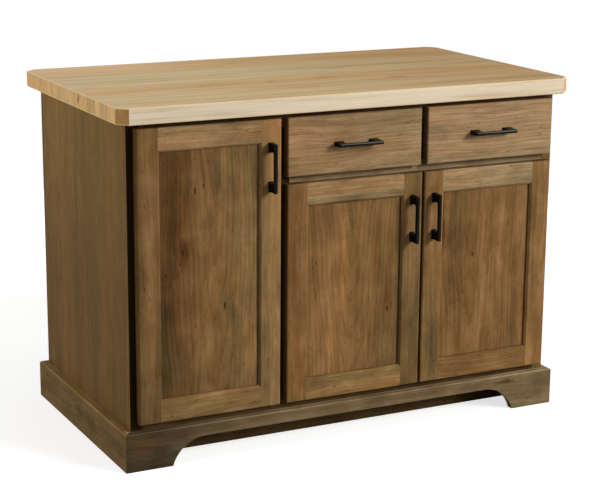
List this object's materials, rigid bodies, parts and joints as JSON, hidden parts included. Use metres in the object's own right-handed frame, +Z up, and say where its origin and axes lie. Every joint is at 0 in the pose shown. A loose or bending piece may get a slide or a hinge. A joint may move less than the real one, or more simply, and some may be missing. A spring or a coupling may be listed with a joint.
{
  "type": "kitchen island",
  "caption": "Kitchen island with a clipped-corner butcher-block top, face frame, cope-and-stick doors, dovetailed drawers on slides and an arched base board.",
  "frame": {"origin": "on the floor, in the middle of the whole island's width and depth, worktop and pulls included", "axes": "+X to the right seen from the front, +Y to the back, +Z up; doors and drawers face -Y"},
  "size_m": [1.28, 0.737, 0.914],
  "materials": {
    "butcher_block": "satin oiled maple staves, pale tan",
    "stained_maple": "satin lacquer over a brown stain",
    "pale_maple": "clear satin lacquer on natural maple",
    "black_metal": "satin black",
    "steel": "zinc-plated steel"
  },
  "bodies": {
    "cabinet": {"worktop": "butcher_block", "frame_stile_left": "stained_maple", "frame_stile_right": "stained_maple", "frame_stile_centre": "stained_maple", "frame_rail_top": "stained_maple", "frame_rail_middle": "stained_maple", "frame_rail_bottom": "stained_maple", "frame_mullion": "stained_maple", "end_panel_left": "stained_maple", "end_panel_right": "stained_maple", "back_panel": "stained_maple", "cabinet_floor": "pale_maple", "partition": "pale_maple", "drawer_divider": "pale_maple", "shelf": "pale_maple", "toe_kick_board": "stained_maple", "base_board_front": "stained_maple", "base_board_back": "stained_maple", "base_board_left": "stained_maple", "base_board_right": "stained_maple", "tall_door_hinge_lower": "steel", "tall_door_hinge_upper": "steel", "middle_door_hinge_lower": "steel", "middle_door_hinge_upper": "steel", "right_door_hinge_lower": "steel", "right_door_hinge_upper": "steel"},
    "tall_door": {"tall_door_hinge_stile": "stained_maple", "tall_door_pull_stile": "stained_maple", "tall_door_bottom_rail": "stained_maple", "tall_door_top_rail": "stained_maple", "tall_door_panel": "stained_maple", "tall_door_pull": "black_metal"},
    "middle_door": {"middle_door_hinge_stile": "stained_maple", "middle_door_pull_stile": "stained_maple", "middle_door_bottom_rail": "stained_maple", "middle_door_top_rail": "stained_maple", "middle_door_panel": "stained_maple", "middle_door_pull": "black_metal"},
    "right_door": {"right_door_hinge_stile": "stained_maple", "right_door_pull_stile": "stained_maple", "right_door_bottom_rail": "stained_maple", "right_door_top_rail": "stained_maple", "right_door_panel": "stained_maple", "right_door_pull": "black_metal"},
    "left_drawer": {"left_drawer_front": "stained_maple", "left_drawer_side_left": "pale_maple", "left_drawer_side_right": "pale_maple", "left_drawer_back": "pale_maple", "left_drawer_bottom": "pale_maple", "left_drawer_pull": "black_metal"},
    "right_drawer": {"right_drawer_front": "stained_maple", "right_drawer_side_left": "pale_maple", "right_drawer_side_right": "pale_maple", "right_drawer_back": "pale_maple", "right_drawer_bottom": "pale_maple", "right_drawer_pull": "black_metal"},
    "left_drawer_runners": {"left_drawer_runner_left": "steel", "left_drawer_runner_right": "steel"},
    "right_drawer_runners": {"right_drawer_runner_left": "steel", "right_drawer_runner_right": "steel"}
  },
  "joints": [
    {"name": "tall_door_swing", "type": "hinge", "parent": "cabinet", "child": "tall_door", "pos_m": [-0.589, -0.3235, 0.49], "axis": [0, 0, -1], "range_deg": [0, 105]},
    {"name": "middle_door_swing", "type": "hinge", "parent": "cabinet", "child": "middle_door", "pos_m": [-0.188, -0.3235, 0.406], "axis": [0, 0, -1], "range_deg": [0, 105]},
    {"name": "right_door_swing", "type": "hinge", "parent": "cabinet", "child": "right_door", "pos_m": [0.589, -0.3235, 0.406], "axis": [0, 0, 1], "range_deg": [0, 105]},
    {"name": "left_drawer_slide", "type": "slide", "parent": "cabinet", "child": "left_drawer", "axis": [0, -1, 0], "range_m": [0, 0.45]},
    {"name": "right_drawer_slide", "type": "slide", "parent": "cabinet", "child": "right_drawer", "axis": [0, -1, 0], "range_m": [0, 0.45]},
    {"name": "left_runners_slide", "type": "slide", "parent": "cabinet", "child": "left_drawer_runners", "axis": [0, -1, 0], "range_m": [0, 0.225]},
    {"name": "right_runners_slide", "type": "slide", "parent": "cabinet", "child": "right_drawer_runners", "axis": [0, -1, 0], "range_m": [0, 0.225]}
  ],
  "couplings": [
    {"joint": "left_runners_slide", "follows": "left_drawer_slide", "ratio": 0.5},
    {"joint": "right_runners_slide", "follows": "right_drawer_slide", "ratio": 0.5}
  ]
}
